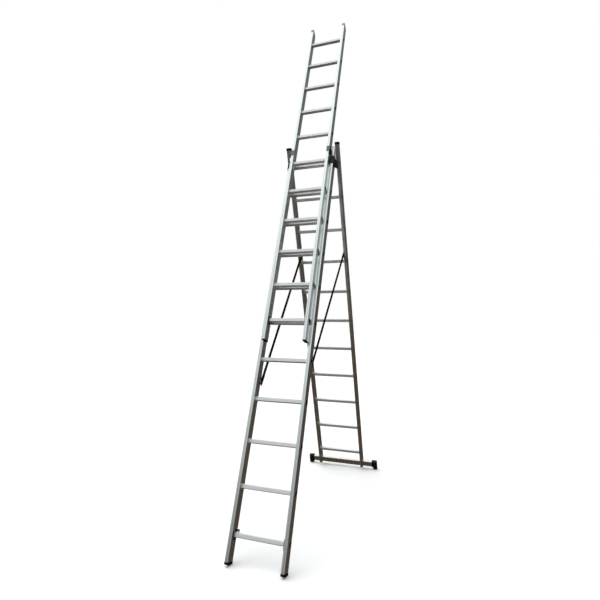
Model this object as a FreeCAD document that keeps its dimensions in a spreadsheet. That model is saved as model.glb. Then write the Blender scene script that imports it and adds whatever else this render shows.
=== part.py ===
"""Three-section aluminium combination ladder, standing as an A-frame.

The front section is climbed, the fly section slides in front of it, and the rear
section folds out behind it on two bolted hinges. Every piece is drawn in its own
section's frame: X across the ladder, Y from the climbing side to the back, Z up
the stiles from their lower ends. A section frame then places it in the row frame.
"""
import FreeCAD, Part
import math
import os

from FreeCAD import Matrix, Placement, Rotation, Vector

X_AXIS = Vector(1, 0, 0)
Y_AXIS = Vector(0, 1, 0)
Z_AXIS = Vector(0, 0, 1)

# Driving dimensions, in millimetres and degrees.
SIZES = {
    # rungs
    "rung_count": 11,
    "rung_pitch": 280,
    "rung_side": 28,
    "rung_corner": 5,
    "rung_wall": 1.3,
    "rung_lip": 1,
    "lip_side": 31,
    "bead_side": 33,
    "bead_length": 2.5,
    "flute_depth": 0.5,
    "flute_width": 1.8,
    "flute_pitch": 4,
    # stiles
    "stile_thickness": 24,
    "stile_depth": 66,
    "stile_wall": 1.6,
    "stile_corner": 2,
    "stile_length": 3100,
    "end_length": 150,
    "line_depth": 0.5,
    "line_width": 2,
    # sections
    "front_width": 390,
    "fly_width": 330,
    "rear_width": 452,
    "section_offset": 50,
    "fly_steps": 5,
    "front_lean": 19.8,
    "front_ground": 23,
    "rear_ground": 50,
    # hinges
    "pivot_height": 2990,
    "pivot_forward": 22,
    "pivot_radius": 5,
    "pivot_clearance": 0.05,
    "plate": 3,
    "bracket_height": 72,
    "bracket_depth": 3,
    "eye_radius": 16,
    "bolt_head_radius": 8,
    "bolt_head_height": 2,
    "bolt_end": 7,
    "nut_flats": 16,
    "nut_height": 5.5,
    # rivets
    "rivet_head": 4.8,
    "rivet_head_height": 1.5,
    "rivet_shank": 2.4,
    "rivet_tail": 3.4,
    "rivet_tail_height": 2,
    # fly guides
    "guide_height": 61,
    "guide_flange": 48,
    "guide_grip": 3,
    "guide_liner": 1.5,
    # hooks
    "hook_plate": 4,
    # straps
    "strap_width": 38,
    "strap_thickness": 1.6,
    "strap_inset": 2.6,
    "strap_gap": 0.25,
    "strap_overhang": 14,
    "strap_sewn": 90,
    "strap_bolt": 3,
    "washer_radius": 9,
    "washer_height": 1.2,
    "screw_head": 6,
    "screw_head_height": 2.4,
    "spacer_radius": 8,
    "front_anchor": 1115,
    "front_anchor_back": 17,
    "rear_anchor": 2160,
    "rear_anchor_back": 0,
    # stabiliser
    "bar_length": 700,
    "bar_height": 50,
    "bar_depth": 30,
    "bar_wall": 1.6,
    "bar_low": -32,
    "bar_bolt": 4,
    "bar_bolt_head": 8,
    "bar_bolt_head_height": 3.5,
    "bar_nut_flats": 13,
    "bar_nut_height": 6.5,
    "boot_skin": 4.5,
    "boot_end": 5,
    "boot_sleeve": 48,
    "boot_block": 34,
    # end pieces
    "plug_gap": 0.35,
    "plug_length": 24,
    "shoe_side": 0.5,
    "cap_side": 1.6,
    "lid_height": 3,
    "end_height": 6,
}


def size(name):
    """The value of one driving dimension."""
    return float(SIZES[name])


doc = FreeCAD.newDocument("combination_ladder")
sheet = doc.addObject("Spreadsheet::Sheet", "Sizes")
for row, (alias, value) in enumerate(SIZES.items(), start=1):
    sheet.set(f"A{row}", alias)
    sheet.set(f"B{row}", str(value))
    sheet.setAlias(f"B{row}", alias)
doc.recompute()

HALF_STILE = size("stile_thickness") / 2
HALF_DEPTH = size("stile_depth") / 2
HALF_BEAD = size("bead_side") / 2
WIDTH = {name: size(f"{name}_width") for name in ("front", "fly", "rear")}
STILE_X = {name: width / 2 - HALF_STILE for name, width in WIDTH.items()}
BEAD_GAP = 2


def inner_face(section):
    """X of the right stile's inner face."""
    return WIDTH[section] / 2 - size("stile_thickness")


# ---------------------------------------------------------------- section frames

front_lean = math.radians(size("front_lean"))
pivot_v = -size("pivot_forward")
pivot_up = size("pivot_height")
front_reach = size("front_ground") + pivot_up
pivot_z = front_reach * math.cos(front_lean) - pivot_v * math.sin(front_lean)
pivot_y = front_reach * math.sin(front_lean) + pivot_v * math.cos(front_lean)

# The rear section hangs from the same pivot and its foot line is on the floor too.
rear_pivot_v = pivot_v - size("section_offset")
rear_reach = size("rear_ground") + pivot_up
rear_lean = math.acos(pivot_z / math.hypot(rear_reach, rear_pivot_v))
rear_lean -= math.atan(-rear_pivot_v / rear_reach)


def leaning(base_y, base_z, lean):
    """A frame whose Z runs up stiles that lean back by this angle."""
    return Placement(Vector(0, base_y, base_z), Rotation(X_AXIS, -math.degrees(lean)))


def shift(x=0, y=0, z=0):
    """A plain translation."""
    return Placement(Vector(x, y, z), Rotation())


front_frame = leaning(0, 0, front_lean).multiply(shift(z=size("front_ground")))
fly_rise = size("fly_steps") * size("rung_pitch")
fly_frame = front_frame.multiply(shift(y=-size("section_offset"), z=fly_rise))
rear_frame = leaning(0, 0, -rear_lean)
rear_frame.Base = Vector(0, pivot_y, pivot_z) - rear_frame.Rotation.multVec(
    Vector(0, rear_pivot_v, pivot_up)
)
FRAMES = {"front": front_frame, "fly": fly_frame, "rear": rear_frame, "row": Placement()}

# ---------------------------------------------------------------- small helpers

nodes = []


def bind(item, **formulas):
    """Binds properties of one object to cells of the sheet."""
    for name, formula in formulas.items():
        item.setExpression(name, formula)
    return item


def box(name, corner, length, width, height):
    """A Part::Box from its lowest corner, with its three sizes as formulas."""
    item = doc.addObject("Part::Box", name)
    item.Placement = shift(*corner)
    return bind(item, Length=length, Width=width, Height=height)


def rod(name, centre, axis, radius, height):
    """A Part::Cylinder from a point, along an axis."""
    item = doc.addObject("Part::Cylinder", name)
    item.Placement = Placement(Vector(*centre), Rotation(Z_AXIS, axis))
    return bind(item, Radius=radius, Height=height)


def hexagon(name, centre, axis, across_flats, height):
    """A Part::Prism of six sides, sized across its flats."""
    item = doc.addObject("Part::Prism", name)
    item.Polygon = 6
    item.Placement = Placement(Vector(*centre), Rotation(Z_AXIS, axis))
    return bind(item, Circumradius=f"{across_flats} / sqrt(3)", Height=height)


def group(name, items, placement=None):
    """A Part::Compound of several objects."""
    item = doc.addObject("Part::Compound", name)
    item.Links = list(items)
    if placement:
        item.Placement = placement
    return item


def cut(name, base, *tools):
    """The base without the tools."""
    item = doc.addObject("Part::Cut", name)
    item.Base = base
    item.Tool = tools[0] if len(tools) == 1 else group(name + "_tools", tools)
    return item


def fuse(name, *items):
    """One solid out of several."""
    item = doc.addObject("Part::MultiFuse", name)
    item.Shapes = list(items)
    item.Refine = True
    return item


def mirrored(item):
    """The left-hand twin of a right-hand piece."""
    twin = doc.addObject("Part::Mirroring", item.Name + "_twin")
    twin.Source = item
    twin.Normal = X_AXIS
    return twin


def node(label, section, items):
    """One named sub-part, placed by its section's frame."""
    item = group(label, items, FRAMES[section])
    item.Label = label
    nodes.append(item)
    return item


def pair_node(label, section, items):
    """A sub-part made of right-hand pieces and their left-hand twins."""
    return node(label, section, list(items) + [mirrored(i) for i in items])


def origin_part(body, role):
    """One of a body's own origin planes or axes."""
    return next(f for f in body.Origin.OriginFeatures if f.Role == role)


def sketch_on(body, role, name, offset=None):
    """An empty sketch on one of the body's origin planes."""
    sketch = body.newObject("Sketcher::SketchObject", name)
    sketch.AttachmentSupport = [(origin_part(body, role), "")]
    sketch.MapMode = "FlatFace"
    if offset:
        sketch.AttachmentOffset = offset
    return sketch


def pad(body, sketch, name, formula, midplane=False):
    """A Pad whose length is bound to the sheet."""
    item = body.newObject("PartDesign::Pad", name)
    item.Profile = sketch
    item.Midplane = midplane
    return bind(item, Length=formula)


def through(body, sketch, name, **settings):
    """A Pocket right through the body."""
    item = body.newObject("PartDesign::Pocket", name)
    item.Profile = sketch
    item.Type = "ThroughAll"
    for key, value in settings.items():
        setattr(item, key, value)
    return item


def rounded_rectangle(sketch, width, height, corner, flutes=()):
    """Draws a centred rectangle with round corners and V flutes in its sides.

    flutes holds (side, offset, depth, width); side 0 is the right one, then
    anticlockwise, and the offset runs along the side in the drawing direction.
    """
    half = (width / 2, height / 2)
    for side in range(4):
        turn = side * math.pi / 2
        out, reach = half[side % 2], half[1 - side % 2]
        along = Vector(-math.sin(turn), math.cos(turn), 0)
        normal = Vector(math.cos(turn), math.sin(turn), 0)
        path = [(-reach + corner, 0)]
        for _, offset, depth, wide in sorted(f for f in flutes if f[0] == side):
            path += [(offset - wide / 2, 0), (offset, -depth), (offset + wide / 2, 0)]
        path.append((reach - corner, 0))
        spots = [normal * (out + rise) + along * run for run, rise in path]
        for start, end in zip(spots, spots[1:]):
            sketch.addGeometry(Part.LineSegment(start, end), False)
        centre = normal * (out - corner) + along * (reach - corner)
        circle = Part.Circle(centre, Z_AXIS, corner)
        sketch.addGeometry(Part.ArcOfCircle(circle, turn, turn + math.pi / 2), False)


def outline(name, start_x, thickness, points):
    """A plate as a Body: a closed outline in the YZ plane, padded along X.

    A point is (y, z); a pair of points is an arc's middle and its end.
    """
    body = doc.addObject("PartDesign::Body", name)
    sketch = sketch_on(body, "YZ_Plane", name + "_outline", shift(z=start_x))
    first = here = Vector(*points[0], 0)
    for step in points[1:] + [points[0]]:
        if isinstance(step[0], tuple):
            middle, end = (Vector(*p, 0) for p in step)
            sketch.addGeometry(Part.Arc(here, middle, end), False)
        else:
            end = Vector(*step, 0)
            if end.isEqual(here, 1e-6):
                continue
            sketch.addGeometry(Part.LineSegment(here, end), False)
        here = end
    assert here.isEqual(first, 1e-6)
    doc.recompute()
    pad(body, sketch, name + "_pad", thickness)
    return body


# ---------------------------------------------------------------- stiles and rungs


def make_stile():
    """The hollow stile that all six share: 66 mm deep, with eleven rung holes."""
    body = doc.addObject("PartDesign::Body", "stile_body")
    groove = (size("line_depth"), size("line_width"))
    lines = [(side, offset, *groove) for side in (0, 2) for offset in (-22, -8, 8, 22)]
    lines += [(side, 0, *groove) for side in (1, 3)]
    thickness, depth, wall = size("stile_thickness"), size("stile_depth"), size("stile_wall")
    profile = sketch_on(body, "XY_Plane", "stile_profile")
    rounded_rectangle(profile, thickness, depth, size("stile_corner"), lines)
    doc.recompute()
    pad(body, profile, "stile_length", "Sizes.stile_length")

    inside = sketch_on(body, "XY_Plane", "stile_inside")
    rounded_rectangle(inside, thickness - 2 * wall, depth - 2 * wall, 1)
    through(body, inside, "stile_hollow", Reversed=True)

    opening = sketch_on(body, "YZ_Plane", "rung_opening", shift(y=size("end_length")))
    rounded_rectangle(opening, size("rung_side"), size("rung_side"), size("rung_corner"))
    hole = through(body, opening, "rung_hole", Midplane=True)
    row = body.newObject("PartDesign::LinearPattern", "rung_holes")
    row.Originals = [hole]
    row.Direction = (origin_part(body, "Z_Axis"), [""])
    bind(row, Length="Sizes.rung_pitch * (Sizes.rung_count - 1)", Occurrences="Sizes.rung_count")
    body.Tip = row
    return body


def make_rung(section):
    """A fluted square tube, beaded inside both stiles and lipped outside them."""
    body = doc.addObject("PartDesign::Body", f"{section}_rung_body")
    side, corner = size("rung_side"), size("rung_corner")
    groove = (size("flute_depth"), size("flute_width"))
    steps = (-2, -1, 0, 1, 2)
    flutes = [(face, s * size("flute_pitch"), *groove) for face in range(4) for s in steps]
    profile = sketch_on(body, "YZ_Plane", f"{section}_rung_profile")
    rounded_rectangle(profile, side, side, corner, flutes)
    doc.recompute()
    length = f"Sizes.{section}_width + 2 * Sizes.rung_lip"
    pad(body, profile, f"{section}_rung_tube", length, midplane=True)
    bead_start = inner_face(section) - size("bead_length")
    collars = (
        ("lip", size("lip_side"), WIDTH[section] / 2, "Sizes.rung_lip"),
        ("bead", size("bead_side"), bead_start, "Sizes.bead_length"),
    )
    for name, across, start, thickness in collars:
        for hand in (-1, 1):
            ring = sketch_on(body, "YZ_Plane", f"{section}_{name}_{hand + 1}", shift(z=hand * start))
            rounded_rectangle(ring, across, across, corner + 1.5)
            collar = pad(body, ring, f"{section}_{name}_pad_{hand + 1}", thickness)
            collar.Reversed = hand < 0
    bore = sketch_on(body, "YZ_Plane", f"{section}_rung_bore")
    inside = side - 2 * size("rung_wall")
    rounded_rectangle(bore, inside, inside, corner - 1)
    body.Tip = through(body, bore, f"{section}_rung_hollow", Midplane=True)
    return body


stile = make_stile()
rungs = {section: make_rung(section) for section in WIDTH}
doc.recompute()

# ---------------------------------------------------------------- fasteners


def blind_rivet(name, x, y, z, grip):
    """A rivet set from the middle of the ladder outwards, and the hole it needs.

    grip names the thickness of what it holds to the stile's wall.
    """
    depth = f"Sizes.{grip} + Sizes.stile_wall"
    wall = x + size(grip) + size("stile_wall")
    head_x = x - size("rivet_head_height")
    head = rod(name + "_head", (head_x, y, z), X_AXIS, "Sizes.rivet_head", "Sizes.rivet_head_height")
    shank = rod(name + "_shank", (x, y, z), X_AXIS, "Sizes.rivet_shank", depth)
    tail = rod(name + "_tail", (wall, y, z), X_AXIS, "Sizes.rivet_tail", "Sizes.rivet_tail_height")
    hole = rod(name + "_hole", (x - 1, y, z), X_AXIS, "Sizes.rivet_shank", depth + " + 1")
    return fuse(name, head, shank, tail), hole


def rivet_row(name, x, places, grip):
    """Several rivets and their holes."""
    made = [blind_rivet(f"{name}_{i}", x, y, z, grip) for i, (y, z) in enumerate(places)]
    return [rivet for rivet, _ in made], [hole for _, hole in made]


# ---------------------------------------------------------------- hinges

front_inner = inner_face("front")
front_outer = WIDTH["front"] / 2
rear_inner = inner_face("rear")
plate = size("plate")
top_rung = size("end_length") + (size("rung_count") - 1) * size("rung_pitch")
bead_top = top_rung + HALF_BEAD + BEAD_GAP
bead_low = top_rung - HALF_BEAD - BEAD_GAP
bead_front = -HALF_BEAD - BEAD_GAP


def make_hinge_bracket():
    """A steel channel round the front stile, open at the back."""
    high = pivot_up + 12
    low = high - size("bracket_height")
    front = -HALF_DEPTH - size("bracket_depth")
    outer = outline(
        "bracket_outer",
        front_outer,
        "Sizes.plate",
        [
            (front, low),
            (bead_front, low),
            (bead_front, bead_top),
            (0, bead_top),
            (6, bead_top + 8),
            (6, high - 14),
            ((2.5, high - 4), (-6, high)),
            (front, high),
        ],
    )
    inner = outline(
        "bracket_inner",
        front_inner - plate,
        "Sizes.plate",
        [
            (front, low),
            (bead_front, low),
            (bead_front, bead_top),
            (-6, bead_top),
            (0, bead_top + 8),
            (0, high - 14),
            ((-2.5, high - 4), (-10, high)),
            (front, high),
        ],
    )
    across = "Sizes.stile_thickness + 2 * Sizes.plate"
    corner = (front_inner - plate, front, low)
    web = box("bracket_web", corner, across, "Sizes.bracket_depth", "Sizes.bracket_height")
    blank = fuse("bracket_plates", outer, inner, web)
    return cut("hinge_bracket_right", blank, pivot_rod("bracket_bore", front_inner - 10, "60"))


def pivot_rod(name, start_x, length):
    """A cylinder of the pivot's own radius on the front section's pivot line."""
    return rod(name, (start_x, pivot_v, pivot_up), X_AXIS, "Sizes.pivot_radius", length)


def make_hinge_arm():
    """A steel plate on the rear stile's inner face that reaches forward to the pivot."""
    v, w = rear_pivot_v, pivot_up
    body = outline(
        "arm_plate",
        rear_inner - plate,
        "Sizes.plate",
        [
            (v - 14, w + 5),
            (v - 55, w - 46),
            ((v - 53, w - 62), (v - 40, w - 71)),
            (2, w - 91),
            (14, w - 88),
            (14, bead_low),
            (bead_front, bead_low),
            (bead_front, w - 34),
            (v + 12, w + 9),
            (v, w),
        ],
    )
    eye = rod("arm_eye", (rear_inner - plate, v, w), X_AXIS, "Sizes.eye_radius", "Sizes.plate")
    hole = rod(
        "arm_hole",
        (rear_inner - 2 * plate, v, w),
        X_AXIS,
        "Sizes.pivot_radius + Sizes.pivot_clearance",
        "4 * Sizes.plate",
    )
    return cut("hinge_arm_blank", fuse("arm_body", body, eye), hole)


def make_hinge_bolt():
    """A low-headed pivot bolt and its locknut, clear of the fly inside."""
    face = front_inner - plate
    head = rod(
        "bolt_head",
        (face - size("bolt_head_height"), pivot_v, pivot_up),
        X_AXIS,
        "Sizes.bolt_head_radius",
        "Sizes.bolt_head_height",
    )
    span = "(Sizes.rear_width - Sizes.front_width) / 2 + Sizes.plate + Sizes.bolt_end"
    bolt = fuse("hinge_bolt", head, pivot_rod("bolt_shank", face, span))
    nut_at = (rear_inner + 0.4, pivot_v, pivot_up)
    nut = hexagon("nut_body", nut_at, X_AXIS, "Sizes.nut_flats", "Sizes.nut_height")
    thread = pivot_rod("nut_thread", rear_inner - 1, "2 * Sizes.nut_height")
    return bolt, cut("hinge_nut", nut, thread)


pivot_bore = pivot_rod("stile_pivot_bore", front_inner - 5, "40")
pair_node("hinge_brackets", "front", [make_hinge_bracket()])
pair_node("hinge_bolts", "front", make_hinge_bolt())

ARM_RIVETS = ((-26, top_rung), (-22, pivot_up - 76), (4, pivot_up - 76))
arm_rivets, arm_holes = rivet_row("arm_rivet", rear_inner - plate, ARM_RIVETS, "plate")
pair_node("hinge_arms", "rear", [cut("hinge_arm_right", make_hinge_arm(), *arm_holes)])

# ---------------------------------------------------------------- fly guides

guide_low = pivot_up + 17
guide_high = guide_low + size("guide_height")
guide_front = -size("section_offset") - HALF_DEPTH - 0.8 - size("guide_grip")
guide_inner = front_inner - size("guide_grip")
guide_liner = front_inner - size("guide_liner")


def make_guide_bracket():
    """A zinc-plated angle that holds the fly stile from in front."""
    web = box(
        "guide_web",
        (guide_inner, guide_front, guide_low),
        "Sizes.guide_grip - Sizes.guide_liner",
        f"{-5 - guide_front}",
        "Sizes.guide_height",
    )
    flange = box(
        "guide_flange",
        (inner_face("fly") + 2, guide_front, guide_high - size("guide_flange")),
        f"{guide_liner - inner_face('fly') - 2}",
        "Sizes.guide_grip",
        "Sizes.guide_flange",
    )
    return fuse("guide_angle", web, flange)


GUIDE_RIVETS = ((-18, guide_low + 14), (-18, guide_high - 14))
guide_rivets, guide_holes = rivet_row("guide_rivet", guide_inner, GUIDE_RIVETS, "guide_grip")
pair_node("guide_brackets", "front", [cut("guide_bracket_right", make_guide_bracket(), *guide_holes)])
pad_blank = box(
    "guide_pad_blank",
    (guide_liner, guide_front, guide_low - 4),
    "Sizes.guide_liner",
    f"{-3 - guide_front}",
    "Sizes.guide_height + 4",
)
pair_node("guide_pads", "front", [cut("guide_pad_right", pad_blank, *guide_holes)])

# ---------------------------------------------------------------- hooks

rung_height = size("end_length")
bead_edge = HALF_BEAD + 1


def make_hook(section, mouth_back, reach, drop, mouth):
    """A steel hook plate round the lowest rung's bead, open downwards behind the stile.

    reach is where the lip ends, drop how far it hangs, and mouth the steps of the
    opening's upper edge, from its back to its front.
    """
    z = rung_height
    roof = z + bead_edge
    steps = [
        (-28, z - 30),
        (-28, z + 20),
        ((-25.5, z + 26), (-20, z + 28)),
        (reach - 8, z + 28),
        ((reach - 2, z + 25.5), (reach, z + 18)),
        (reach, z - drop),
        (mouth_back + 2, z - drop - 5),
        (mouth_back, z - drop),
        *mouth,
        (-bead_edge, roof),
        (-bead_edge, z - bead_edge),
        (12, z - bead_edge),
        (12, z - 30),
    ]
    start = inner_face(section) - size("hook_plate")
    return outline(f"{section}_hook_plate", start, "Sizes.hook_plate", steps)


# The front hook's mouth is open from its own rung backwards.
front_mouth = [
    (47, rung_height + 13.5),
    ((45.5, rung_height + 16.5), (42, rung_height + bead_edge)),
]
# The fly hook's mouth sits on a front rung, behind a wall beside its own rung.
seat = rung_height + size("rung_side") / 2 + 0.4
fly_mouth = [
    (65.5, seat - 3),
    ((64.6, seat - 0.9), (62.5, seat)),
    (37.5, seat),
    ((35.4, seat - 0.9), (34.5, seat - 3)),
    (34.5, rung_height - 10),
    (bead_edge, rung_height - 10),
    (bead_edge, rung_height + bead_edge),
]
hooks = {
    "front": make_hook("front", 47, 56, 2, front_mouth),
    "fly": make_hook("fly", 65.5, 73, 0, fly_mouth),
}
HOOK_RIVETS = ((-22.75, rung_height + 22), (-22.75, rung_height - 22.75))
hook_rivets, hook_holes = {}, {}
for section, hook in hooks.items():
    face = inner_face(section) - size("hook_plate")
    rivets, holes = rivet_row(f"{section}_hook_rivet", face, HOOK_RIVETS, "hook_plate")
    hook_rivets[section], hook_holes[section] = rivets, holes
    pair_node(f"{section}_hooks", section, [cut(f"{section}_hook_right", hook, *holes)])

# ---------------------------------------------------------------- straps

ANCHORS = {s: (size(f"{s}_anchor_back"), size(f"{s}_anchor")) for s in ("front", "rear")}


def strap_bolt(section):
    """A low screw with a washer that holds a strap's end to the stile's inner face."""
    name = f"{section}_strap_bolt"
    face = inner_face(section)
    y, z = ANCHORS[section]
    stack = size("strap_inset") + 2 * size("strap_thickness") + size("strap_gap")
    washer_x = face - stack - size("washer_height")
    head_x = washer_x - size("screw_head_height")
    spacer_x = face - size("strap_inset") + size("strap_gap")
    through_x = "Sizes.strap_inset + 2 * Sizes.strap_thickness + Sizes.washer_height"
    parts = (
        ("washer", washer_x, "Sizes.washer_radius", "Sizes.washer_height"),
        ("head", head_x, "Sizes.screw_head", "Sizes.screw_head_height"),
        ("spacer", spacer_x, "Sizes.spacer_radius", "Sizes.strap_inset - Sizes.strap_gap"),
        ("shank", washer_x, "Sizes.strap_bolt", through_x + " + 5"),
    )
    rods = [rod(f"{name}_{n}", (x, y, z), X_AXIS, r, h) for n, x, r, h in parts]
    hole = rod(name + "_hole", (face - 8, y, z), X_AXIS, "Sizes.strap_bolt", "12")
    return fuse(name, *rods), hole


def make_strap():
    """A taut webbing strap between the two anchors, drawn in the row frame."""
    middle = size("strap_inset") + size("strap_thickness") / 2
    low, high = (
        FRAMES[s].multVec(Vector(inner_face(s) - middle, *ANCHORS[s])) for s in ("front", "rear")
    )
    span = (high - low).Length
    along = (high - low).normalize()
    across = along.cross(X_AXIS).normalize()
    thin = across.cross(along)
    turn = Rotation(Matrix(
        thin.x, across.x, along.x, 0,
        thin.y, across.y, along.y, 0,
        thin.z, across.z, along.z, 0,
        0, 0, 0, 1,
    ))
    overhang = size("strap_overhang")

    def layer(name, start, depth, length):
        """One layer of webbing, from a distance along the strap; depth is towards the middle."""
        piece = box(name, (0, 0, 0), "Sizes.strap_thickness", "Sizes.strap_width", length)
        edge = low - across * (size("strap_width") / 2) - thin * (size("strap_thickness") / 2)
        piece.Placement = Placement(edge + along * start - thin * depth, turn)
        return piece

    fold = size("strap_thickness")
    webbing = fuse(
        "strap_webbing",
        layer("strap_run", -overhang, 0, f"{span} + 2 * Sizes.strap_overhang"),
        layer("strap_fold_low", -overhang, fold, "Sizes.strap_sewn"),
        layer("strap_fold_high", span + overhang - size("strap_sewn"), fold, "Sizes.strap_sewn"),
    )
    holes = [
        rod(f"strap_hole_{i}", point - X_AXIS * 8, X_AXIS, "Sizes.strap_bolt + 0.6", "16")
        for i, point in enumerate((low, high))
    ]
    print(f"strap length between anchors {span:.1f} mm")
    return cut("strap_right", webbing, *holes)


strap_bolts, strap_holes = {}, {}
for section in ("front", "rear"):
    strap_bolts[section], strap_holes[section] = strap_bolt(section)
strap = make_strap()
node("right_strap", "row", [strap])
node("left_strap", "row", [mirrored(strap)])

# ---------------------------------------------------------------- stabiliser bar

bar_low = size("bar_low")
bar_front = HALF_DEPTH
bar_back = bar_front + size("bar_depth")
bar_half = size("bar_length") / 2
bar_wall = size("bar_wall")
bolt_z = bar_low + size("bar_height") - 9


def floor_tool(name, frame, span):
    """A block that fills everything under the floor, in a section's frame."""
    tool = box(name, (0, 0, 0), f"{2 * span}", f"{2 * span}", f"{span}")
    in_row = shift(-span, frame.Base.y - span, -span)
    tool.Placement = frame.inverse().multiply(in_row)
    return tool


def make_bar_bolt():
    """A carriage bolt through the bar into the rear stile, with its nut inside."""
    x = STILE_X["rear"]
    inside = HALF_DEPTH - size("stile_wall") - size("bar_nut_height")
    shank_y = inside - 2.5
    reach = "Sizes.bar_depth + Sizes.stile_wall + Sizes.bar_nut_height + 2.5"
    head = rod(
        "bar_bolt_head", (x, bar_back, bolt_z), Y_AXIS, "Sizes.bar_bolt_head", "Sizes.bar_bolt_head_height"
    )
    shank = rod("bar_bolt_shank", (x, shank_y, bolt_z), Y_AXIS, "Sizes.bar_bolt", reach)
    nut_at = (x, inside, bolt_z)
    nut = hexagon("bar_nut_body", nut_at, Y_AXIS, "Sizes.bar_nut_flats", "Sizes.bar_nut_height")
    thread = rod("bar_nut_thread", (x, shank_y, bolt_z), Y_AXIS, "Sizes.bar_bolt", "12")
    hole = rod("bar_bolt_hole", (x, shank_y, bolt_z), Y_AXIS, "Sizes.bar_bolt", "60")
    return [fuse("bar_bolt", head, shank), cut("bar_nut", nut, thread)], hole


bar_fasteners, bar_hole = make_bar_bolt()
pair_node("stabiliser_bolts", "rear", bar_fasteners)
tube = cut(
    "bar_tube",
    box(
        "bar_outer",
        (-bar_half, bar_front, bar_low),
        "Sizes.bar_length",
        "Sizes.bar_depth",
        "Sizes.bar_height",
    ),
    box(
        "bar_inner",
        (-bar_half - 1, bar_front + bar_wall, bar_low + bar_wall),
        "Sizes.bar_length + 2",
        "Sizes.bar_depth - 2 * Sizes.bar_wall",
        "Sizes.bar_height - 2 * Sizes.bar_wall",
    ),
)
node("stabiliser_bar", "rear", [cut("drilled_bar", tube, bar_hole, mirrored(bar_hole))])


def make_stabiliser_foot():
    """A rubber boot over the bar's end, with a foot block down to the floor."""
    skin = size("boot_skin")
    tip = bar_half + size("boot_end")
    around = "Sizes.bar_depth + 2 * Sizes.boot_skin"
    sleeve = box(
        "boot_sleeve",
        (tip - size("boot_sleeve"), bar_front - skin, bar_low - skin),
        "Sizes.boot_sleeve",
        around,
        "Sizes.bar_height + 2 * Sizes.boot_skin",
    )
    foot_at = (tip - size("boot_block"), bar_front - skin, bar_low - 60)
    foot = box("boot_block", foot_at, "Sizes.boot_block", around, "60")
    hollow = box(
        "boot_hollow",
        (tip - size("boot_sleeve") - 1, bar_front, bar_low),
        "Sizes.boot_sleeve + 1 - Sizes.boot_end",
        "Sizes.bar_depth",
        "Sizes.bar_height",
    )
    boot = cut("boot_blank", fuse("boot_body", sleeve, foot), hollow)
    return cut("boot_right", boot, floor_tool("boot_floor", rear_frame, 400))


pair_node("stabiliser_feet", "rear", [make_stabiliser_foot()])

# ---------------------------------------------------------------- end pieces

top = size("stile_length")


def plug(name, section, low, height="Sizes.plug_length", depth="Sizes.stile_depth"):
    """The part of an end piece that sits inside the hollow stile."""
    inset = size("stile_wall") + size("plug_gap")
    trim = " - 2 * Sizes.stile_wall - 2 * Sizes.plug_gap"
    corner = (STILE_X[section] - HALF_STILE + inset, inset - HALF_DEPTH, low)
    return box(name, corner, "Sizes.stile_thickness" + trim, depth + trim, height)


def lid(name, section, low, height):
    """A flat piece with the stile's own outline."""
    corner = (STILE_X[section] - HALF_STILE, -HALF_DEPTH, low)
    return box(name, corner, "Sizes.stile_thickness", "Sizes.stile_depth", height)


def make_front_foot():
    """A rubber sole, cut level at its heel where it meets the floor."""
    side = size("shoe_side")
    ground = size("front_ground")
    slope = math.tan(front_lean)
    edge = HALF_DEPTH + side
    heel = 20
    sole = heel * slope - ground
    shoe = outline(
        "shoe_block",
        STILE_X["front"] - HALF_STILE - side,
        "Sizes.stile_thickness + 2 * Sizes.shoe_side",
        [
            (edge, 0),
            (edge, edge * slope - ground),
            (heel, sole),
            (-edge + 13, sole),
            ((-edge + 3.5, sole + 2.5), (-edge, sole + 8)),
            (-edge, 0),
        ],
    )
    return fuse("front_foot_right", shoe, plug("shoe_plug", "front", -1))


def make_rear_foot():
    """A small rounded end piece under the rear stile, above the floor."""
    tip = outline(
        "rear_tip",
        STILE_X["rear"] - HALF_STILE,
        "Sizes.stile_thickness",
        [
            (-HALF_DEPTH, 0),
            ((-HALF_DEPTH + 3.5, -6), (-HALF_DEPTH + 12, -8)),
            (HALF_DEPTH - 6, -8),
            ((HALF_DEPTH - 1.5, -6), (HALF_DEPTH - 0.5, 0)),
        ],
    )
    # The plug stops in front of the nut that holds the bar.
    short = "Sizes.stile_depth - 19"
    return fuse("rear_foot_right", tip, plug("rear_tip_plug", "rear", -1, "Sizes.plug_length", short))


def make_rear_cap():
    """A rounded black cap over the rear stile's upper end."""
    side = size("cap_side")
    edge = HALF_DEPTH + side
    crown = top + 16
    cap = outline(
        "rear_cap_shell",
        STILE_X["rear"] - HALF_STILE - side,
        "Sizes.stile_thickness + 2 * Sizes.cap_side",
        [
            (-edge, top - 4),
            (-edge, top + 4),
            ((-edge + 4, crown - 4), (-edge + 14, crown)),
            (edge - 14, crown),
            ((edge - 4, crown - 4), (edge, top + 4)),
            (edge, top - 4),
        ],
    )
    shell = cut("rear_cap_cover", cap, lid("rear_cap_cavity", "rear", top - 10, "10"))
    return fuse("rear_cap_right", shell, plug("rear_cap_plug", "rear", top - 23))


def make_front_plug():
    """A thin flush plug in the front stile's upper end."""
    cover = lid("front_plug_lid", "front", top, "Sizes.lid_height")
    return fuse("front_plug_right", cover, plug("front_plug_stem", "front", top - 23))


def make_fly_cap():
    """A tall cap on the fly's top: straight in front, a quarter round at the back."""
    head = outline(
        "fly_cap_head",
        STILE_X["fly"] - HALF_STILE,
        "Sizes.stile_thickness",
        [
            (-HALF_DEPTH, top),
            (-HALF_DEPTH, top + 30),
            (-HALF_DEPTH + 18, top + 30),
            ((10, top + 22), (HALF_DEPTH, top)),
        ],
    )
    return fuse("fly_cap_right", head, plug("fly_cap_plug", "fly", top - 23))


def make_fly_end():
    """A thin black end piece under the fly stile."""
    cover = lid("fly_end_lid", "fly", -size("end_height"), "Sizes.end_height")
    return fuse("fly_end_right", cover, plug("fly_end_plug", "fly", -1))


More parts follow.
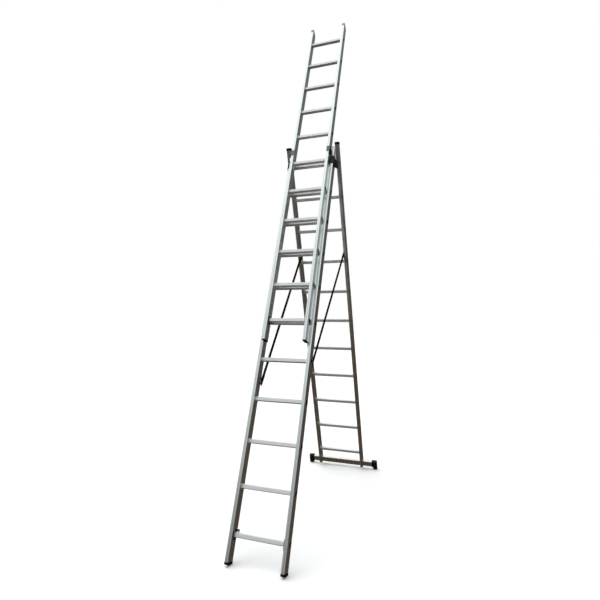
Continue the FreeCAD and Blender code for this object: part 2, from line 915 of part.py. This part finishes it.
pair_node("front_feet", "front", [make_front_foot()])
pair_node("rear_feet", "rear", [make_rear_foot()])
pair_node("rear_top_caps", "rear", [make_rear_cap()])
pair_node("front_top_plugs", "front", [make_front_plug()])
pair_node("fly_top_caps", "fly", [make_fly_cap()])
pair_node("fly_end_caps", "fly", [make_fly_end()])
pair_node("front_fasteners", "front", [*guide_rivets, *hook_rivets["front"], strap_bolts["front"]])
pair_node("fly_rivets", "fly", hook_rivets["fly"])
pair_node("rear_fasteners", "rear", [*arm_rivets, strap_bolts["rear"]])

# ---------------------------------------------------------------- the three sections

DRILLED = {
    "front": [pivot_bore, *guide_holes, *hook_holes["front"], strap_holes["front"]],
    "fly": hook_holes["fly"],
    "rear": [*arm_holes, strap_holes["rear"], bar_hole],
}
for section, holes in DRILLED.items():
    blank = group(f"{section}_stile_blank", [stile], shift(x=STILE_X[section]))
    drilled = cut(f"{section}_stile_drilled", blank, *holes)
    node(f"{section}_stile_right", section, [drilled])
    node(f"{section}_stile_left", section, [mirrored(drilled)])
    for number in range(1, int(size("rung_count")) + 1):
        height = size("end_length") + (number - 1) * size("rung_pitch")
        placed = group(f"{section}_rung_at_{number:02d}", [rungs[section]], shift(z=height))
        node(f"{section}_rung_{number:02d}", section, [placed])

# ---------------------------------------------------------------- origin and export

doc.recompute()
low_y = min(n.Shape.optimalBoundingBox(False, False).YMin for n in nodes)
high_y = max(n.Shape.optimalBoundingBox(False, False).YMax for n in nodes)
middle_y = (low_y + high_y) / 2
for item in nodes:
    item.Placement = shift(y=-middle_y).multiply(item.Placement)
doc.recompute()

for item in doc.Objects:
    if "Invalid" in item.State or "Error" in item.State:
        raise RuntimeError(f"{item.Name} did not recompute: {item.State}")
    if hasattr(item, "Shape") and (item.Shape.isNull() or not item.Shape.isValid()):
        raise RuntimeError(f"{item.Name} has no valid shape")

os.makedirs("parts", exist_ok=True)
for item in nodes:
    item.Shape.exportStep(f"parts/{item.Label}.step")

print(f"{len(nodes)} sub-parts, {sum(len(n.Shape.Solids) for n in nodes)} solids")
print(f"pivot y {pivot_y - middle_y:.3f} z {pivot_z:.3f}, rear lean {math.degrees(rear_lean):.3f}")
print(f"origin shift {middle_y:.3f}, lowest {min(n.Shape.BoundBox.ZMin for n in nodes):.3f}")
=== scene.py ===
import math

import bmesh
import bpy
from mathutils import Matrix, Vector


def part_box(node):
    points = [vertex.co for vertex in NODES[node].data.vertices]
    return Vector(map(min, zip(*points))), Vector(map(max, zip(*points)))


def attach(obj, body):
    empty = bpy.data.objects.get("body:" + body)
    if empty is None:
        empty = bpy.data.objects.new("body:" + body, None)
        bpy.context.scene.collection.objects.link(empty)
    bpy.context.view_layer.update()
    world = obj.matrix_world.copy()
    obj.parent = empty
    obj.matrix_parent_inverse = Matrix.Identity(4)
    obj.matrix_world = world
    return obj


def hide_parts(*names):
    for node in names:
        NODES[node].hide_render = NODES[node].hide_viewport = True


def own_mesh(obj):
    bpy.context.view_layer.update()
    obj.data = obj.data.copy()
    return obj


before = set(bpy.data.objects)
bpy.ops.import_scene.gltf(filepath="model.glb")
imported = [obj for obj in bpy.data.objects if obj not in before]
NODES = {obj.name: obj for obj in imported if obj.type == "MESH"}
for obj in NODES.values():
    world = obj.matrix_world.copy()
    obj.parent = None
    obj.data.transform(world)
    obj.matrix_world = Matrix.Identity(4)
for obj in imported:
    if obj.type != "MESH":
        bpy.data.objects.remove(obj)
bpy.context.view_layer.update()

LEAN = {"front": math.radians(19.8), "fly": math.radians(19.8), "rear": -math.radians(19.461)}

# ------------------------------------------------------------------ node helpers


class Graph:
    """A short way to build one node tree."""

    def __init__(self, tree):
        self.tree = tree
        self.nodes = tree.nodes
        self.nodes.clear()

    def add(self, kind, **settings):
        made = self.nodes.new(kind)
        for name, value in settings.items():
            setattr(made, name, value)
        return made

    def join(self, source, target):
        self.tree.links.new(source, target)

    def feed(self, socket, value):
        """Links a node's output to a socket, or sets the socket's own number."""
        if hasattr(value, "links"):
            self.join(value, socket)
        else:
            socket.default_value = value

    def math(self, operation, first, second=0.0, clamp=False):
        made = self.add("ShaderNodeMath", operation=operation, use_clamp=clamp)
        self.feed(made.inputs[0], first)
        self.feed(made.inputs[1], second)
        return made.outputs[0]

    def mix(self, share, first, second, blend="MIX"):
        made = self.add("ShaderNodeMix", data_type="RGBA", blend_type=blend)
        self.feed(made.inputs[0], share)
        self.feed(made.inputs[6], first)
        self.feed(made.inputs[7], second)
        return made.outputs[2]

    def remap(self, value, low, high, to_low, to_high, smooth=False):
        made = self.add("ShaderNodeMapRange", clamp=True)
        made.interpolation_type = "SMOOTHSTEP" if smooth else "LINEAR"
        for socket, number in zip(made.inputs, (value, low, high, to_low, to_high)):
            self.feed(socket, number)
        return made.outputs[0]

    def ramp(self, value, stops):
        """stops holds (position, colour)."""
        made = self.add("ShaderNodeValToRGB")
        elements = made.color_ramp.elements
        while len(elements) < len(stops):
            elements.new(0.5)
        for element, (position, colour) in zip(elements, stops):
            element.position = position
            element.color = (*colour, 1.0)
        self.feed(made.inputs[0], value)
        return made.outputs[0]

    def coordinates(self, scale, lean=0.0):
        """Row-frame metres turned so that Z runs up the leaning stiles, then scaled."""
        where = self.add("ShaderNodeTexCoord")
        turned = self.add("ShaderNodeMapping", vector_type="POINT")
        turned.inputs["Rotation"].default_value = (lean, 0.0, 0.0)
        self.join(where.outputs["Object"], turned.inputs["Vector"])
        scaled = self.add("ShaderNodeVectorMath", operation="MULTIPLY")
        self.join(turned.outputs["Vector"], scaled.inputs[0])
        scaled.inputs[1].default_value = scale
        return scaled.outputs[0]

    def noise(self, vector, scale=1.0, detail=3.0, roughness=0.55):
        made = self.add("ShaderNodeTexNoise")
        self.join(vector, made.inputs["Vector"])
        made.inputs["Scale"].default_value = scale
        made.inputs["Detail"].default_value = detail
        made.inputs["Roughness"].default_value = roughness
        return made.outputs["Fac"]

    def bump(self, height, strength, distance):
        made = self.add("ShaderNodeBump")
        self.join(height, made.inputs["Height"])
        made.inputs["Strength"].default_value = strength
        made.inputs["Distance"].default_value = distance
        return made.outputs["Normal"]

    def surface(self, colour, roughness, normal, **constants):
        """A Principled shader; its constants go on its own sockets."""
        shader = self.add("ShaderNodeBsdfPrincipled")
        self.feed(shader.inputs["Base Color"], colour)
        self.feed(shader.inputs["Roughness"], roughness)
        if normal is not None:
            self.join(normal, shader.inputs["Normal"])
        for name, value in constants.items():
            shader.inputs[name.replace("_", " ")].default_value = value
        out = self.add("ShaderNodeOutputMaterial")
        self.join(shader.outputs[0], out.inputs["Surface"])


def new_material(name):
    material = bpy.data.materials.new(name)
    material.use_nodes = True
    return material, Graph(material.node_tree)


# ------------------------------------------------------------------ materials


def aluminium(name, lean, grain, tone, dull, metal=1.0):
    """Mill-finish aluminium: die lines along the profile, faint blotches and scuffs.

    grain is the noise stretch in the profile's own axes, dull is (lowest, highest) roughness.
    """
    material, g = new_material(name)
    lines = g.noise(g.coordinates(grain, lean), detail=4.0, roughness=0.7)
    blotches = g.noise(g.coordinates((9.0, 9.0, 2.5), lean), detail=5.0)
    scuffs = g.noise(g.coordinates((70.0, 70.0, 24.0), lean), detail=6.0, roughness=0.75)
    scuff_mask = g.remap(scuffs, 0.62, 0.74, 0.0, 1.0, smooth=True)
    line_tone = g.remap(lines, 0.3, 0.7, 0.0, 1.0)
    dark = tuple(0.90 * c for c in tone) + (1.0,)
    base = g.mix(line_tone, dark, (*tone, 1.0))
    cloud = g.remap(blotches, 0.35, 0.7, 0.0, 0.35)
    base = g.mix(cloud, base, tuple(0.86 * c for c in tone) + (1.0,))
    base = g.mix(g.math("MULTIPLY", scuff_mask, 0.35), base, (0.62, 0.63, 0.62, 1.0))
    rough = g.remap(lines, 0.25, 0.75, dull[0], dull[1])
    rough = g.math("ADD", rough, g.math("MULTIPLY", scuff_mask, 0.12))
    normal = g.bump(lines, 0.10, 0.0004)
    g.surface(base, rough, normal, Metallic=metal)
    return material


def moulded(name, colour, dull, texture=900.0, depth=0.25):
    """Moulded plastic or rubber: a fine pebbled skin, paler where it is rubbed."""
    material, g = new_material(name)
    pebbles = g.noise(g.coordinates((texture,) * 3), detail=2.0)
    wear = g.noise(g.coordinates((28.0, 28.0, 28.0)), detail=6.0, roughness=0.7)
    pale = tuple(min(1.0, c * 1.6 + 0.004) for c in colour) + (1.0,)
    share = g.remap(wear, 0.52, 0.76, 0.0, 0.6, smooth=True)
    base = g.mix(share, (*colour, 1.0), pale)
    rough = g.remap(pebbles, 0.3, 0.7, dull - 0.07, dull + 0.07)
    g.surface(base, rough, g.bump(pebbles, depth, 0.0004), Specular_IOR_Level=0.25)
    return material


def coated_steel(name):
    """Black powder-coated plate with an orange-peel skin and a few bare rubs."""
    material, g = new_material(name)
    peel = g.noise(g.coordinates((420.0,) * 3), detail=1.5)
    rubs = g.noise(g.coordinates((55.0, 90.0, 40.0)), detail=7.0, roughness=0.7)
    rub = g.remap(rubs, 0.66, 0.72, 0.0, 0.5, smooth=True)
    base = g.mix(rub, (0.008, 0.008, 0.009, 1.0), (0.09, 0.087, 0.083, 1.0))
    rough = g.remap(peel, 0.3, 0.7, 0.5, 0.64)
    g.surface(base, rough, g.bump(peel, 0.22, 0.0005), Coat_Weight=0.15, Coat_Roughness=0.3)
    return material


def zinc_steel(name, bright, dim):
    """Zinc plate with the faint mottling of the plating, between two tones."""
    material, g = new_material(name)
    grain = g.noise(g.coordinates((260.0,) * 3), detail=3.0)
    stain = g.noise(g.coordinates((30.0,) * 3), detail=5.0)
    base = g.mix(g.remap(stain, 0.35, 0.7, 0.0, 1.0), (*bright, 1.0), (*dim, 1.0))
    rough = g.remap(grain, 0.3, 0.7, 0.26, 0.42)
    g.surface(base, rough, g.bump(grain, 0.12, 0.0003), Metallic=1.0)
    return material


def webbing(name):
    """Plain-woven polyester: warp ribs along the strap crossed by fine weft."""
    material, g = new_material(name)
    uv = g.add("ShaderNodeUVMap")
    parts = g.add("ShaderNodeSeparateXYZ")
    g.join(uv.outputs[0], parts.inputs[0])
    across, along = parts.outputs[0], parts.outputs[1]
    warp = g.math("SINE", g.math("MULTIPLY", across, 2 * math.pi / WARP_PITCH))
    weft = g.math("SINE", g.math("MULTIPLY", along, 2 * math.pi / WEFT_PITCH))
    # The weft dips under every second warp end, which gives a checked relief.
    relief = g.math("MULTIPLY", warp, weft)
    height = g.math("ADD", g.math("MULTIPLY", relief, 0.6), g.math("ABSOLUTE", warp))
    # Painted shadow and highlight: the colour follows the weave's relief, darker in its hollows and
    # lighter on its ribs.
    shade = g.remap(height, 0.0, 1.5, 0.0, 1.0)
    fade = g.noise(g.coordinates((14.0, 14.0, 14.0)), detail=4.0)
    base = g.mix(shade, (0.005, 0.005, 0.006, 1.0), (0.014, 0.014, 0.015, 1.0))
    base = g.mix(g.remap(fade, 0.45, 0.75, 0.0, 0.3), base, (0.022, 0.022, 0.023, 1.0))
    g.surface(base, 0.85, g.bump(height, 0.5, 0.0004), Specular_IOR_Level=0.25)
    return material


def thread(name):
    """Bonded sewing thread, a little glossier than the webbing."""
    material, g = new_material(name)
    twist = g.noise(g.coordinates((1500.0,) * 3), detail=2.0)
    base = g.mix(twist, (0.015, 0.015, 0.016, 1.0), (0.055, 0.055, 0.06, 1.0))
    g.surface(base, g.remap(twist, 0.3, 0.7, 0.45, 0.65), g.bump(twist, 0.2, 0.0002))
    return material


WARP_PITCH = 0.0025
WEFT_PITCH = 0.0018
ALUMINIUM_TONE = (0.86, 0.91, 0.905)
STILE_GRAIN = (700.0, 700.0, 2.0)
RUNG_GRAIN = (2.0, 600.0, 600.0)
REAR_TONE = (0.80, 0.79, 0.755)
RUNG_TONE = (0.92, 0.95, 0.955)
STILE_METAL = {
    section: aluminium(
        f"{section}_stile_aluminium",
        lean,
        STILE_GRAIN,
        REAR_TONE if section == "rear" else ALUMINIUM_TONE,
        (0.22, 0.34),
    )
    for section, lean in LEAN.items()
}
RUNG_METAL = {
    section: aluminium(f"{section}_rung_aluminium", lean, RUNG_GRAIN, RUNG_TONE, (0.30, 0.44), metal=0.78)
    for section, lean in LEAN.items()
}
RUBBER = moulded("foot_rubber", (0.008, 0.008, 0.008), 0.8, texture=500.0, depth=0.4)
BLACK_PLASTIC = moulded("black_plastic", (0.007, 0.007, 0.008), 0.72)
# Painted shade: a near-black, dull material for the inside of the rung tubes, also put on their cut ends.
BORE_PAINTED_SHADE = moulded("rung_bore_painted_shade", (0.003, 0.003, 0.003), 0.9, texture=200.0, depth=0.1)
GREY_PLASTIC = moulded("grey_plastic", (0.33, 0.34, 0.34), 0.5)
COATED = coated_steel("black_steel")
ZINC = zinc_steel("zinc_steel", (0.72, 0.73, 0.74), (0.52, 0.53, 0.53))
DULL_ZINC = zinc_steel("dull_zinc", (0.155, 0.20, 0.225), (0.105, 0.135, 0.155))
WEBBING = webbing("strap_webbing")
THREAD = thread("strap_thread")

FINISH = {
    "hinge_brackets": COATED,
    "hinge_arms": COATED,
    "front_hooks": COATED,
    "fly_hooks": COATED,
    "hinge_bolts": ZINC,
    "guide_brackets": DULL_ZINC,
    "stabiliser_bolts": ZINC,
    "front_fasteners": ZINC,
    "rear_fasteners": ZINC,
    "fly_rivets": ZINC,
    "guide_pads": BLACK_PLASTIC,
    "front_feet": RUBBER,
    "stabiliser_feet": RUBBER,
    "front_top_plugs": BLACK_PLASTIC,
    "rear_top_caps": BLACK_PLASTIC,
    "rear_feet": BLACK_PLASTIC,
    "fly_end_caps": BLACK_PLASTIC,
    "fly_top_caps": GREY_PLASTIC,
    "stabiliser_bar": STILE_METAL["rear"],
}


def finish_of(name):
    """The material of one CAD node."""
    if name in FINISH:
        return FINISH[name]
    section = name.split("_")[0]
    return RUNG_METAL[section] if "rung" in name else STILE_METAL[section]


BORE_HALF = 0.0128
END_FACE = 0.0002


def paint_bore_shade(name):
    """Paints the inside of a rung's tube near-black as painted shade, and gives its cut ends the same
    dark, dull material.
    """
    mesh = NODES[name].data
    mesh.materials.append(BORE_PAINTED_SHADE)
    low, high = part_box(name)
    centre = (Vector(low) + Vector(high)) / 2
    lean = LEAN[name.split("_")[0]]
    back = Vector((0.0, math.cos(lean), -math.sin(lean)))
    up = Vector((0.0, math.sin(lean), math.cos(lean)))
    for polygon in mesh.polygons:
        offset = polygon.center - centre
        inside = max(abs(offset.dot(back)), abs(offset.dot(up))) < BORE_HALF
        if inside or abs(offset.x) > high[0] - END_FACE:
            polygon.material_index = 1


for name, node in NODES.items():
    if name.endswith("_strap"):
        continue
    node.data.materials.clear()
    node.data.materials.append(finish_of(name))
    if "_rung_" in name:
        paint_bore_shade(name)

# ------------------------------------------------------------------ straps

STRAP_WIDTH = 0.038
STRAP_THICKNESS = 0.0016
SEWN_LENGTH = 0.09
STITCH_PITCH = 0.0045
STITCH_LENGTH = 0.0032
THREAD_RADIUS = 0.0004


WASHER_CLEAR = 0.030
RING = 8


def strap_frame(name):
    """Both end centres of a CAD strap, and its directions: along, across and towards the middle."""
    points = [v.co.copy() for v in NODES[name].data.vertices]
    low = min(points, key=lambda p: p.z)
    high = max(points, key=lambda p: p.z)
    for _ in range(4):
        along = (high - low).normalized()
        reach = [p.dot(along) for p in points]
        first = [p for p, r in zip(points, reach) if r < min(reach) + 1e-4]
        last = [p for p, r in zip(points, reach) if r > max(reach) - 1e-4]
        low = sum(first, Vector()) / len(first)
        high = sum(last, Vector()) / len(last)
    across = along.cross(Vector((1.0, 0.0, 0.0))).normalized()
    thin = across.cross(along)
    return low, high, along, across, -thin if low.x > 0 else thin


def strap_path(length):
    """(distance along, height, tangent) of the webbing's middle, folded back at both ends."""
    half = STRAP_THICKNESS / 2
    step = 0.006
    turn = 2 * half

    def run(start, end, height, sign):
        count = max(2, round(abs(end - start) / step))
        return [(start + (end - start) * i / count, height, (sign, 0.0)) for i in range(count + 1)]

    first = run(SEWN_LENGTH, turn, half, -1.0)
    angles = [math.pi * i / RING for i in range(1, RING)]
    low_bend = [
        (turn - half * math.sin(a), half * math.cos(a), (-math.cos(a), -math.sin(a)))
        for a in angles
    ]
    middle = run(turn, length - turn, -half, 1.0)
    high_bend = [
        (length - turn + half * math.sin(a), -half * math.cos(a), (math.cos(a), math.sin(a)))
        for a in angles
    ]
    last = run(length - turn, length - SEWN_LENGTH, half, -1.0)
    return first + low_bend + middle + high_bend + last


def stitch_rows(length):
    """Start and end of each stitch, as (along, across), for a boxed cross at both ends."""
    side = STRAP_WIDTH / 2 - 0.003
    near, far = WASHER_CLEAR, SEWN_LENGTH - 0.005
    lines = [
        ((near, -side), (far, -side)),
        ((near, side), (far, side)),
        ((near, -side), (near, side)),
        ((far, -side), (far, side)),
        ((near, -side), (far, side)),
        ((near, side), (far, -side)),
    ]
    stitches = []
    for start, end in lines:
        start, end = Vector(start), Vector(end)
        span = (end - start).length
        count = int(span / STITCH_PITCH)
        for i in range(count):
            a = start.lerp(end, (i + 0.15) / count)
            b = start.lerp(end, (i + 0.15) / count + STITCH_LENGTH / span)
            stitches += [(a, b), (Vector((length - a.x, a.y)), Vector((length - b.x, b.y)))]
    return stitches


def make_strap(name):
    """Webbing with its ends folded back and sewn, in place of the CAD strap."""
    low, high, along, across, inward = strap_frame(name)
    length = (high - low).length
    verts, faces, uvs, kinds = [], [], [], []
    half_width, half_thick, edge = STRAP_WIDTH / 2, STRAP_THICKNESS / 2, 0.0005
    section = [
        (-half_width + edge, half_thick),
        (0.0, half_thick),
        (half_width - edge, half_thick),
        (half_width, half_thick - edge),
        (half_width, -half_thick + edge),
        (half_width - edge, -half_thick),
        (0.0, -half_thick),
        (-half_width + edge, -half_thick),
        (-half_width, -half_thick + edge),
        (-half_width, half_thick - edge),
    ]
    size = len(section)
    travelled, before = 0.0, None
    rings = []
    for distance, height, (run, rise) in strap_path(length):
        spot = Vector((distance, height))
        if before is not None:
            if (spot - before).length < 1e-7:
                continue
            travelled += (spot - before).length
        before = spot
        rings.append(travelled)
        for side, out in section:
            place = low + along * (distance - rise * out) + inward * (height + run * out)
            verts.append(place + across * side)
    for ring in range(len(rings) - 1):
        for k in range(size):
            k2 = (k + 1) % size
            a, b = ring * size, (ring + 1) * size
            faces.append((a + k, a + k2, b + k2, b + k))
            sides = (section[k][0], section[k2][0], section[k2][0], section[k][0])
            runs = (rings[ring], rings[ring], rings[ring + 1], rings[ring + 1])
            uvs += list(zip(sides, runs))
            kinds.append(0)
    for start, flip in ((0, False), ((len(rings) - 1) * size, True)):
        loop = [start + k for k in range(size)]
        faces.append(tuple(loop if flip else reversed(loop)))
        uvs += [(0.0, 0.0)] * size
        kinds.append(0)
    for a, b in stitch_rows(length):
        for height in (STRAP_THICKNESS, -STRAP_THICKNESS):
            base = len(verts)
            for end, (at, other) in enumerate(((a, b), (b, a))):
                away = (at - other).normalized()
                for shrink, slide in ((1.0, 0.0), (0.45, THREAD_RADIUS)):
                    spot = at + away * slide
                    for k in range(6):
                        turn = math.tau * k / 6
                        sideways = Vector((-away.y, away.x)) * (1 - 2 * end)
                        lateral = sideways * math.cos(turn) * THREAD_RADIUS * shrink
                        lift = math.sin(turn) * THREAD_RADIUS * shrink
                        flat = spot + lateral
                        place = low + along * flat.x + across * flat.y + inward * (height + lift)
                        verts.append(place)
            loops = (base + 6, base, base + 12, base + 18)
            for first, second in zip(loops, loops[1:]):
                for k in range(6):
                    k2 = (k + 1) % 6
                    faces.append((first + k, first + k2, second + k2, second + k))
            faces.append(tuple(reversed(range(base + 6, base + 12))))
            faces.append(tuple(range(base + 18, base + 24)))
            uvs += [(0.0, 0.0)] * (18 * 4 + 12)
            kinds += [1] * 20
    mesh = bpy.data.meshes.new(name + "_webbing")
    mesh.from_pydata(verts, [], faces)
    layer = mesh.uv_layers.new(name="weave")
    for loop, uv in zip(layer.data, uvs):
        loop.uv = uv
    mesh.materials.append(WEBBING)
    mesh.materials.append(THREAD)
    mesh.polygons.foreach_set("material_index", kinds)
    shell = bmesh.new()
    shell.from_mesh(mesh)
    bmesh.ops.recalc_face_normals(shell, faces=shell.faces)
    shell.to_mesh(mesh)
    shell.free()
    piece = bpy.data.objects.new(name + "_webbing", mesh)
    bpy.context.scene.collection.objects.link(piece)
    fold_strap(piece, name)


def fold_strap(piece, name):
    """The strap hangs from the front section, in place of the hidden CAD strap."""
    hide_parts(name)
    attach(piece, "front_section")
    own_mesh(piece)


for side in ("left", "right"):
    make_strap(f"{side}_strap")

# ------------------------------------------------------------------ studio

CAMERA_PLACE = Vector((1.15218, -3.53731, 1.47634))
CAMERA_YAW = 0.3436
CAMERA_PITCH = 0.0527
CAMERA_ROLL = 0.0091
CAMERA_LENS = 26.617


def make_camera():
    data = bpy.data.cameras.new("camera")
    data.lens = CAMERA_LENS
    data.sensor_width = 36.0
    data.clip_start = 0.05
    data.clip_end = 300.0
    camera = bpy.data.objects.new("camera", data)
    bpy.context.scene.collection.objects.link(camera)
    flat = Vector((math.cos(CAMERA_YAW), math.sin(CAMERA_YAW), 0.0))
    ahead = Vector((-math.sin(CAMERA_YAW), math.cos(CAMERA_YAW), 0.0)) * math.cos(CAMERA_PITCH)
    ahead.z = math.sin(CAMERA_PITCH)
    up = flat.cross(ahead)
    right = flat * math.cos(CAMERA_ROLL) + up * math.sin(CAMERA_ROLL)
    above = up * math.cos(CAMERA_ROLL) - flat * math.sin(CAMERA_ROLL)
    turn = Matrix((right, above, -ahead)).transposed()
    camera.matrix_world = Matrix.LocRotScale(CAMERA_PLACE, turn, None)
    bpy.context.scene.camera = camera


FLOOR_SIDE = 120.0


def make_floor():
    """A plain pale floor."""
    half = FLOOR_SIDE / 2
    mesh = bpy.data.meshes.new("floor")
    corners = [(-half, -half, 0), (half, -half, 0), (half, half, 0), (-half, half, 0)]
    mesh.from_pydata(corners, [], [(0, 1, 2, 3)])
    floor = bpy.data.objects.new("floor", mesh)
    bpy.context.scene.collection.objects.link(floor)
    material, g = new_material("pale_floor")
    speck = g.noise(g.coordinates((3.0, 3.0, 3.0)), detail=3.0)
    base = g.mix(speck, (0.90, 0.90, 0.90, 1.0), (0.92, 0.92, 0.92, 1.0))
    g.surface(base, 0.9, None, Specular_IOR_Level=0.0)
    mesh.materials.append(material)
    floor.visible_glossy = False
    floor.visible_diffuse = False


def make_world():
    """A white studio: dark to the right and low down, bright above and behind on the left."""
    world = bpy.data.worlds.new("studio")
    world.use_nodes = True
    bpy.context.scene.world = world
    g = Graph(world.node_tree)
    where = g.add("ShaderNodeTexCoord").outputs["Generated"]
    parts = g.add("ShaderNodeSeparateXYZ")
    g.join(where, parts.inputs[0])
    height = g.remap(parts.outputs[2], -1.0, 1.0, 0.0, 1.0)
    level = g.add("ShaderNodeVectorMath", operation="MULTIPLY")
    g.join(where, level.inputs[0])
    level.inputs[1].default_value = (1.0, 1.0, 0.0)
    heading = g.add("ShaderNodeVectorMath", operation="NORMALIZE")
    g.join(level.outputs[0], heading.inputs[0])

    def towards(degrees):
        """How far a direction points to a compass heading, 0 being straight behind the ladder."""
        made = g.add("ShaderNodeVectorMath", operation="DOT_PRODUCT")
        g.join(heading.outputs[0], made.inputs[0])
        turn = math.radians(degrees)
        made.inputs[1].default_value = (math.sin(turn), math.cos(turn), 0.0)
        return made.outputs["Value"]

    def column(*stops):
        """A ramp over height from (elevation in degrees, colour) pairs."""
        return g.ramp(height, [((math.sin(math.radians(e)) + 1) / 2, c) for e, c in stops])

    brown = (0.060, 0.044, 0.031)
    front = column(
        (-90, brown),
        (-30, (0.07, 0.06, 0.05)),
        (0, (0.12, 0.12, 0.12)),
        (12, (0.25, 0.26, 0.26)),
        (18, (0.38, 0.40, 0.40)),
        (24, (0.49, 0.51, 0.51)),
        (33, (0.63, 0.66, 0.66)),
        (43, (0.71, 0.735, 0.735)),
        (55, (0.92, 0.95, 0.94)),
        (67, (1.0, 1.0, 0.98)),
        (90, (1.0, 1.0, 0.98)),
    )
    right = column(
        (-90, brown),
        (0, (0.055, 0.042, 0.031)),
        (15, (0.070, 0.062, 0.056)),
        (28, (0.105, 0.112, 0.120)),
        (40, (0.150, 0.165, 0.180)),
        (60, (0.29, 0.30, 0.31)),
        (75, (0.68, 0.70, 0.70)),
        (90, (1.0, 1.0, 0.98)),
    )
    left = column(
        (-90, brown),
        (-32, (0.10, 0.09, 0.08)),
        (-18, (0.62, 0.64, 0.64)),
        (0, (0.80, 0.82, 0.82)),
        (90, (1.0, 1.0, 0.98)),
    )
    to_right = g.remap(towards(80), 0.087, 0.31, 0.0, 1.0, smooth=True)
    to_left = g.remap(towards(-35), 0.73, 0.88, 0.0, 1.0, smooth=True)
    studio = g.mix(to_left, g.mix(to_right, front, right), left)
    light = g.add("ShaderNodeBackground")
    g.join(studio, light.inputs["Color"])
    light.inputs["Strength"].default_value = 1.25
    seen = g.add("ShaderNodeBackground")
    seen.inputs["Color"].default_value = (1.0, 1.0, 1.0, 1.0)
    path = g.add("ShaderNodeLightPath")
    both = g.add("ShaderNodeMixShader")
    g.join(path.outputs["Is Camera Ray"], both.inputs[0])
    g.join(light.outputs[0], both.inputs[1])
    g.join(seen.outputs[0], both.inputs[2])
    out = g.add("ShaderNodeOutputWorld")
    g.join(both.outputs[0], out.inputs["Surface"])


def make_lamp():
    """One very soft overhead lamp, which the metal doesn't mirror."""
    data = bpy.data.lights.new("overhead", "SUN")
    data.energy = 1.9
    data.angle = math.radians(100)
    lamp = bpy.data.objects.new("overhead", data)
    lamp.rotation_euler = (math.radians(20), math.radians(-15), 0.0)
    lamp.visible_glossy = False
    bpy.context.scene.collection.objects.link(lamp)


make_camera()
make_floor()
make_world()
make_lamp()
bpy.context.scene.view_settings.view_transform = "Standard"
